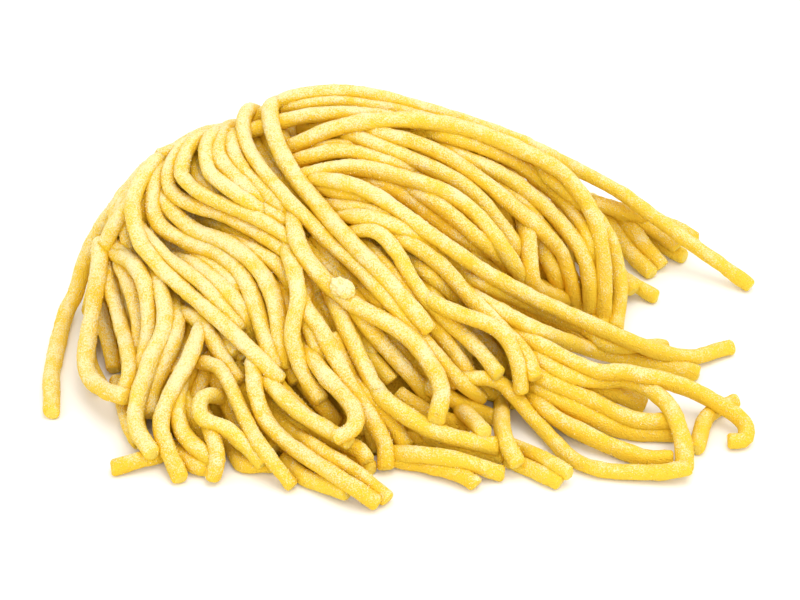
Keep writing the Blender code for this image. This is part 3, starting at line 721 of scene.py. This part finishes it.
def dough(name, plain, floury, shaded, painted_crease_shade, amount):
    """Egg dough with an amount of semolina on it, from 0 for none to 1 for thickly dusted, with painted shade in
    its creases and painted light on its tops.
    """
    material = bpy.data.materials.new(name)
    material.use_nodes = True
    tree = material.node_tree
    shader = tree.nodes["Principled BSDF"]
    place = add(tree, "ShaderNodeTexCoord", out="Object")
    facing = add(tree, "ShaderNodeNewGeometry", out="Normal")
    grain = add(tree, "ShaderNodeTexNoise", inputs={
        "Vector": place, "Scale": per_mm(0.32), "Detail": 1.5, "Roughness": 0.6})
    patch = add(tree, "ShaderNodeTexNoise", inputs={
        "Vector": place, "Scale": per_mm(4.0), "Detail": 3.0, "Roughness": 0.6})
    tone = add(tree, "ShaderNodeAttribute", {"attribute_name": "tone"}, out="Fac")
    clear = add(tree, "ShaderNodeAttribute", {"attribute_name": "open"}, out="Fac")
    bare = add(tree, "ShaderNodeMix", {"data_type": "RGBA"}, {
        "Factor_Float": tone, "A_Color": paint(plain), "B_Color": paint(shaded)}, "Result_Color")
    lit = add(tree, "ShaderNodeMapRange", inputs={
        "Value": clear, "From Min": 0.1, "From Max": 0.7, "To Min": 0.0, "To Max": 1.0})
    # Painted shade: where few rays get clear, the colour goes over to the fourth colour, a deeper gold.
    base_with_painted_crease_shade = add(tree, "ShaderNodeMix", {"data_type": "RGBA"}, {
        "Factor_Float": lit, "A_Color": paint(painted_crease_shade), "B_Color": bare}, "Result_Color")

    sides = add(tree, "ShaderNodeSeparateXYZ", inputs={"Vector": place}, out="X")
    left = add(tree, "ShaderNodeMapRange", inputs={
        "Value": sides, "From Min": RIGHT_EDGE, "From Max": LEFT_EDGE, "To Min": -0.10, "To Max": 0.16})
    up = add(tree, "ShaderNodeSeparateXYZ", inputs={"Vector": facing}, out="Z")
    # Upward faces take more flour. The mask is pushed far enough that it also paints pale lit tops and deeper gold
    # shaded sides, as painted light and shade.
    top = add(tree, "ShaderNodeMapRange", inputs={
        "Value": up, "From Min": -0.3, "From Max": 0.95, "To Min": -0.54, "To Max": 0.26})
    reached = add(tree, "ShaderNodeMapRange", inputs={
        "Value": clear, "From Min": 0.15, "From Max": 0.85, "To Min": -0.80, "To Max": 0.08})
    height = add(tree, "ShaderNodeSeparateXYZ", inputs={"Vector": place}, out="Z")
    low = add(tree, "ShaderNodeMapRange", inputs={
        "Value": height, "From Min": 0.002, "From Max": 0.014, "To Min": -0.36, "To Max": 0.06})
    fallen = add(tree, "ShaderNodeMath", {"operation": "ADD"}, {"Value": left, "Value_001": low})
    sifted_and_painted_light = add(tree, "ShaderNodeMath", {"operation": "ADD"}, {"Value": fallen, "Value_001": top})
    laid_on_and_painted_light = add(tree, "ShaderNodeMath", {"operation": "ADD"}, {"Value": sifted_and_painted_light, "Value_001": reached})
    patchy = add(tree, "ShaderNodeMath", {"operation": "MULTIPLY_ADD"}, {
        "Value": patch, "Value_001": 2.2, "Value_002": laid_on_and_painted_light})
    dusty_and_painted_light = add(tree, "ShaderNodeMath", {"operation": "MULTIPLY_ADD"}, {
        "Value": grain, "Value_001": 3.0, "Value_002": patchy})
    dust_and_painted_light = add(tree, "ShaderNodeMapRange", inputs={
        "Value": dusty_and_painted_light, "From Min": 2.70 - 0.6 * amount, "From Max": 3.55 - 0.6 * amount})
    # Final colour: flour over the dough, with the painted crease shade and the painted light on the tops in it.
    dusted = add(tree, "ShaderNodeMix", {"data_type": "RGBA"}, {
        "Factor_Float": dust_and_painted_light, "A_Color": base_with_painted_crease_shade, "B_Color": paint(floury)}, "Result_Color")
    tree.links.new(dusted, shader.inputs["Base Color"])

    rough = add(tree, "ShaderNodeMapRange", inputs={"Value": dust_and_painted_light, "To Min": 0.62, "To Max": 0.92})
    tree.links.new(rough, shader.inputs["Roughness"])
    caked = add(tree, "ShaderNodeBump", inputs={
        "Strength": 0.6, "Distance": 0.0004, "Height": patch}, out="Normal")
    gritty = add(tree, "ShaderNodeBump", inputs={
        "Strength": 1.0, "Distance": 0.0006, "Height": grain, "Normal": caked}, out="Normal")
    tree.links.new(gritty, shader.inputs["Normal"])
    shader.inputs["Specular IOR Level"].default_value = 0.25
    shader.inputs["Subsurface Weight"].default_value = 0.25
    shader.inputs["Subsurface Radius"].default_value = (1.0, 0.85, 0.35)
    shader.inputs["Subsurface Scale"].default_value = 1.2 * METRE
    return material


# The fourth colour of each dough is painted shade for its creases.
egg_dough = dough("egg_dough_in_semolina", "#FBD43C", "#FDEBB0", "#FACC30", "#F7C61C", 0.50)
cut_dough = dough("freshly_cut_egg_dough", "#FBDF62", "#FBEA98", "#FAD650", "#F5C832", 0.05)
# Painted shade: the core's dough is a darker gold without flour, for the deep gaps.
core_dough_painted_shade = dough("egg_dough_painted_deep_shade", "#F2C730", "#F3D67C", "#EEBE28", "#E6B214", 0.0)
caked_flour = dough("flour_caked_on_dough", "#FADA6A", "#FDEDB8", "#F9D65C", "#F4CC44", 0.7)
print("dough materials:", egg_dough.name, cut_dough.name, core_dough_painted_shade.name)

# %% [markdown]
# ## The shown strands, the ones under them and the rear
#
# The shown strands get the most sides and the closest rings, because their edges are what the eye
# follows. The ones under them are only seen in gaps and can be plainer.

# %% Build the three bundles
rng = random.Random(SEED)
shown_piece = make_bundle(shown, "shown_strands", 14, 1.15, (egg_dough, cut_dough), rng)
back_piece = make_bundle(back, "rear_strands", 12, 1.5, (egg_dough, cut_dough), rng)
under_piece = make_bundle(under, "under_strands", 10, 2.0, (egg_dough, cut_dough), rng)
bed_piece = make_bundle(bed, "bed_strands", 10, 2.0, (egg_dough, cut_dough), rng)

# %% [markdown]
# ## The lump of flour
#
# Halfway down one of the uppermost strands sits a crumb of dough and flour, about 4 by 3 mm, that stuck
# there when the hank was dusted. A ball is stretched along the strand and pushed in and out by noise.

# %% Build the lump
LUMP_PLACE = (-11.9, 2.2)
LUMP_SIZE = (2.9, 1.9, 1.6)
LUMP_TURN = -40


def nearest_to_eye(across, up):
    """The point of a shown strand that is seen first at a place of the drawing."""
    target = AIM + across * ACROSS + up * UPWARD
    aim = (target - EYE) / np.linalg.norm(target - EYE)
    spots = np.vstack(shown)
    along = (spots - EYE) @ aim
    aside = np.linalg.norm(spots - EYE - along[:, None] * aim, axis=1)
    seen = np.where(aside < 2 * RADIUS, along, np.inf)
    return EYE + aim * (seen.min() - RADIUS * 0.7)


lump = bmesh.new()
bmesh.ops.create_icosphere(lump, subdivisions=5, radius=1.0)
for vert in lump.verts:
    vert.co *= 1 + 0.30 * noise.noise(vert.co * 1.6) + 0.13 * noise.noise(vert.co * 4.5)
    vert.co = Vector([k * size for k, size in zip(vert.co, LUMP_SIZE)])
turned = Matrix.Rotation(math.pi / 2 - EYE_TILT, 4, "X") @ Matrix.Rotation(math.radians(LUMP_TURN), 4, "Z")
moved = Matrix.Translation(nearest_to_eye(*LUMP_PLACE)) @ turned
bmesh.ops.transform(lump, matrix=moved, verts=lump.verts)
for face in lump.faces:
    face.smooth = True
lump_piece = finish_piece(lump, "flour_lump", (caked_flour,))
print("lump at", [round(k, 1) for k in nearest_to_eye(*LUMP_PLACE)], "mm")

# %% [markdown]
# ## The core
#
# Under all strands the mound closes the heap, so that no gap shows the board through it. A cone with
# many rings is mapped on to the mound, and ridges as wide as a strand run down it from the crest, so
# that what little shows deep in a gap still reads as pasta. Its dough is a darker gold without flour,
# painted shade for the deep gaps.

# %% Build the core
CORE_AROUND = 300
CORE_RINGS = 26
CORE_RIDGES = 62


def edge_of_mound(turn, inset):
    """How far from its highest point the mound meets the board, in one direction."""
    reach = np.linspace(5, 100, 400)
    x, y = PEAK_X + reach * math.cos(turn), PEAK_Y + reach * math.sin(turn)
    heights = mound_height(x, y, inset)
    return float(reach[np.argmax(heights < 0.6)])


core = bmesh.new()
bmesh.ops.create_cone(
    core, cap_ends=True, cap_tris=False, segments=CORE_AROUND, radius1=1.0, radius2=0.04, depth=1.0
)
steep = [edge for edge in core.edges if abs(edge.verts[0].co.z - edge.verts[1].co.z) > 0.5]
bmesh.ops.subdivide_edges(core, edges=steep, cuts=CORE_RINGS, use_grid_fill=True)
for vert in core.verts:
    out = min(1.0, math.hypot(vert.co.x, vert.co.y))
    base = vert.co.z < -0.499
    turn = math.atan2(vert.co.y, vert.co.x)
    spot = edge_of_mound(turn, CORE_INSET) * (1.0 if base else out)
    x, y = PEAK_X + spot * math.cos(turn), PEAK_Y + spot * math.sin(turn)
    wander = 1.6 * noise.noise(Vector((x, y, 0.0)) / 18)
    ridge = 0.9 * abs(math.sin(CORE_RIDGES / 2 * turn + wander)) * min(1.0, spot / 12)
    height = max(float(mound_height(x, y, CORE_INSET)) + ridge - 1.2, 0.3)
    vert.co = (x, y, 0.0 if base else height)
for face in core.faces:
    face.smooth = len(face.verts) < 5
bmesh.ops.recalc_face_normals(core, faces=core.faces)
core_piece = finish_piece(core, "heap_core", (core_dough_painted_shade,))
print("core,", len(core_piece.data.polygons), "faces")

# %% [markdown]
# ## Where the flour reached
#
# The strands were dusted as they lay, so flour is on what was open and hardly at all in the creases,
# which the dough shader also paints a deeper gold, as painted shade. From each point of the strands a few
# short rays go out in front of its face; the share of them that meets nothing within 4 mm is kept on the
# point, and the dough shader reads it.

# %% Measure how open each point is
REACH_OF_RAYS = 4.0
RAY_START = 0.12
RAY_COUNT = 22
LOWEST_RAY = 0.15


def even_directions(count):
    """Directions spread evenly over a sphere, on a spiral."""
    steps = np.arange(count) + 0.5
    z = 1 - 2 * steps / count
    turn = math.pi * (1 + math.sqrt(5)) * steps
    flat = np.sqrt(1 - z * z)
    return np.column_stack([flat * np.cos(turn), flat * np.sin(turn), z])


def points_and_facing(piece):
    """A piece's points and the directions they face."""
    spots = np.zeros(len(piece.data.vertices) * 3, np.float32)
    facing = np.zeros(len(piece.data.vertices) * 3, np.float32)
    piece.data.vertices.foreach_get("co", spots)
    piece.data.vertices.foreach_get("normal", facing)
    return spots.reshape(-1, 3), facing.reshape(-1, 3)


def mark_open(pieces, solids):
    """Keeps on each point of the pieces the share of rays that get clear of the solids."""
    corners, faces = [], []
    for solid in solids:
        faces += [[len(corners) + index for index in face.vertices] for face in solid.data.polygons]
        corners += [vert.co for vert in solid.data.vertices]
    tree = BVHTree.FromPolygons(corners, faces)
    rays = even_directions(RAY_COUNT)
    vectors = [Vector(ray) for ray in rays]
    for piece in pieces:
        spots, facing = points_and_facing(piece)
        ahead = facing @ rays.T > LOWEST_RAY
        starts = spots + facing * RAY_START * METRE
        shares = []
        for start, wanted in zip(starts, ahead):
            place = Vector(start)
            chosen = np.flatnonzero(wanted)
            met = sum(
                tree.ray_cast(place, vectors[k], REACH_OF_RAYS * METRE)[0] is not None for k in chosen
            )
            shares.append(1 - met / max(1, len(chosen)))
        kept = piece.data.attributes.new("open", "FLOAT", "POINT")
        kept.data.foreach_set("value", shares)
        print(piece.name, "open on average", round(float(np.mean(shares)), 2))


dough_pieces = (shown_piece, back_piece, under_piece, bed_piece, lump_piece, core_piece)
mark_open(dough_pieces, dough_pieces)

# %% [markdown]
# ## Loose semolina
#
# A strand's outline in the photograph is never clean: grains of semolina a quarter of a millimetre wide
# stick out of it. Semolina is broken wheat, so a grain is a small eight-sided chip, stretched and turned
# at random. The grains are scattered over the strands' faces by area, more of them on upward faces and
# on the left, and joined into one mesh.

# %% Scatter the grains
GRAIN_COUNT = 24000
GRAIN_SIZES = (0.07, 0.15)


def face_samples(piece, count, rng):
    """Points on a piece's upper and outer faces, in metres, with the directions they face."""
    mesh = piece.data
    mesh.calc_loop_triangles()
    corners = np.zeros(len(mesh.vertices) * 3, np.float32)
    mesh.vertices.foreach_get("co", corners)
    index = np.zeros(len(mesh.loop_triangles) * 3, np.int32)
    mesh.loop_triangles.foreach_get("vertices", index)
    corner = corners.reshape(-1, 3)[index.reshape(-1, 3)].astype(float)
    cross = np.cross(corner[:, 1] - corner[:, 0], corner[:, 2] - corner[:, 0])
    area = np.linalg.norm(cross, axis=1)
    facing = cross / np.maximum(area, 1e-12)[:, None]
    middle = corner.mean(1) / METRE + np.array(MIDDLE)
    proud = middle[:, 2] - mound_height(middle[:, 0], middle[:, 1], 1.0)
    left = np.interp(middle[:, 0], (-60, 40), (1.5, 0.6))
    weight = area * np.clip(proud, 0, 2) * left * np.clip(facing[:, 2] + 0.75, 0, 1.2)
    picked = rng.choice(len(corner), count, p=weight / weight.sum())
    mix = rng.dirichlet((1, 1, 1), count)
    return (corner[picked] * mix[:, :, None]).sum(1), facing[picked]


def random_turns(count, rng):
    """Rotation matrices in every direction, from unit quaternions."""
    q = rng.normal(size=(count, 4))
    w, x, y, z = (q / np.linalg.norm(q, axis=1)[:, None]).T
    return np.array([
        [1 - 2 * (y * y + z * z), 2 * (x * y - z * w), 2 * (x * z + y * w)],
        [2 * (x * y + z * w), 1 - 2 * (x * x + z * z), 2 * (y * z - x * w)],
        [2 * (x * z - y * w), 2 * (y * z + x * w), 1 - 2 * (x * x + y * y)],
    ]).transpose(2, 0, 1)


def scatter_grains(name, pieces, shares, material):
    """Copies of one chip, joined into one mesh."""
    rng = np.random.default_rng(SEED)
    chip = bmesh.new()
    bmesh.ops.create_uvsphere(chip, u_segments=4, v_segments=2, radius=1.0)
    form = np.array([vert.co for vert in chip.verts])
    sides = np.array([[vert.index for vert in face.verts] for face in chip.faces])
    chip.free()
    found = [face_samples(piece, round(GRAIN_COUNT * share), rng) for piece, share in zip(pieces, shares)]
    places = np.vstack([points for points, _ in found])
    facing = np.vstack([normals for _, normals in found])
    count = len(places)
    size = rng.uniform(*GRAIN_SIZES, (count, 1)) * METRE
    stretch = rng.uniform(0.6, 1.25, (count, 1, 3))
    copies = np.einsum("nij,nvj->nvi", random_turns(count, rng), form[None] * stretch) * size[:, None]
    copies += (places + facing * size * 0.35)[:, None]
    floor = (BOARD_GAP * METRE) / 2
    copies[..., 2] = np.maximum(copies[..., 2], floor)
    faces = sides[None] + (np.arange(count) * len(form))[:, None, None]
    mesh = bpy.data.meshes.new(name)
    mesh.from_pydata(copies.reshape(-1, 3), [], faces.reshape(-1, sides.shape[1]).tolist())
    mesh.materials.append(material)
    piece = bpy.data.objects.new(name, mesh)
    bpy.context.scene.collection.objects.link(piece)
    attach(piece, "root")
    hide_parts("pasta_nest")
    print(name, count, "grains,", len(mesh.polygons), "triangles")
    return piece


def semolina():
    """Broken durum wheat: pale cream chips with a few honey-coloured ones among them."""
    material = bpy.data.materials.new("semolina_grains")
    material.use_nodes = True
    tree = material.node_tree
    shader = tree.nodes["Principled BSDF"]
    place = add(tree, "ShaderNodeTexCoord", out="Object")
    chip = add(tree, "ShaderNodeTexNoise", inputs={"Vector": place, "Scale": per_mm(0.7), "Detail": 1.0})
    share = add(tree, "ShaderNodeMapRange", inputs={"Value": chip, "From Min": 0.35, "From Max": 0.62})
    colour = add(tree, "ShaderNodeMix", {"data_type": "RGBA"}, {
        "Factor_Float": share, "A_Color": paint("#F0D27C"), "B_Color": paint("#FDF2C8")}, "Result_Color")
    tree.links.new(colour, shader.inputs["Base Color"])
    shader.inputs["Roughness"].default_value = 0.7
    shader.inputs["Specular IOR Level"].default_value = 0.35
    return material


grains = scatter_grains("semolina", (shown_piece, back_piece), (0.72, 0.28), semolina())

# %% [markdown]
# ## Floor, light and camera
#
# The hank was photographed on white under broad soft light from above, so the floor is nearly white, the
# sky is a plain pale one, and a large lamp overhead gives the upper edge of each strand its highlight and
# leaves the gaps deep gold. A weaker lamp in front opens the shadows. The camera looks down at 35 degrees
# from in front through a long lens, which is how the routes were drawn.

# %% Floor
bpy.ops.mesh.primitive_plane_add(size=3.0)
floor = bpy.context.object
floor.name = "floor"
board = bpy.data.materials.new("white_board")
board.use_nodes = True
board_shader = board.node_tree.nodes["Principled BSDF"]
board_shader.inputs["Base Color"].default_value = paint("#F7F7F5")
board_shader.inputs["Roughness"].default_value = 0.9
floor.data.materials.append(board)


# %% Lights
def lamp(name, place, watts, size, colour):
    """A square soft lamp aimed at the heap."""
    light = bpy.data.lights.new(name, "AREA")
    light.energy = watts
    light.size = size
    light.color = paint(colour)[:3]
    holder = bpy.data.objects.new(name, light)
    holder.location = place
    holder.rotation_euler = (Vector((0, 0, 0.02)) - holder.location).to_track_quat("-Z", "Y").to_euler()
    bpy.context.scene.collection.objects.link(holder)


lamp("overhead_lamp", (0.12, -0.08, 0.80), 2.3, 0.50, "#FFFDF8")
lamp("front_lamp", (0.10, -0.75, 0.45), 1.5, 0.60, "#FFFFFF")
world = bpy.data.worlds.new("pale_room")
world.use_nodes = True
world.node_tree.nodes["Background"].inputs["Color"].default_value = paint("#FFFFFF")
world.node_tree.nodes["Background"].inputs["Strength"].default_value = 1.08
scene = bpy.context.scene
scene.world = world
scene.view_settings.view_transform = "Standard"
scene.view_settings.look = "None"

# %% Camera
camera_data = bpy.data.cameras.new("camera")
camera_data.lens = 100
camera_data.sensor_width = 36
camera = bpy.data.objects.new("camera", camera_data)
camera.location = (Vector(EYE) - MIDDLE) * METRE
camera.rotation_euler = Vector(AIM - EYE).to_track_quat("-Z", "Y").to_euler()
scene.collection.objects.link(camera)
scene.camera = camera
print("camera at", [round(v, 3) for v in camera.location])
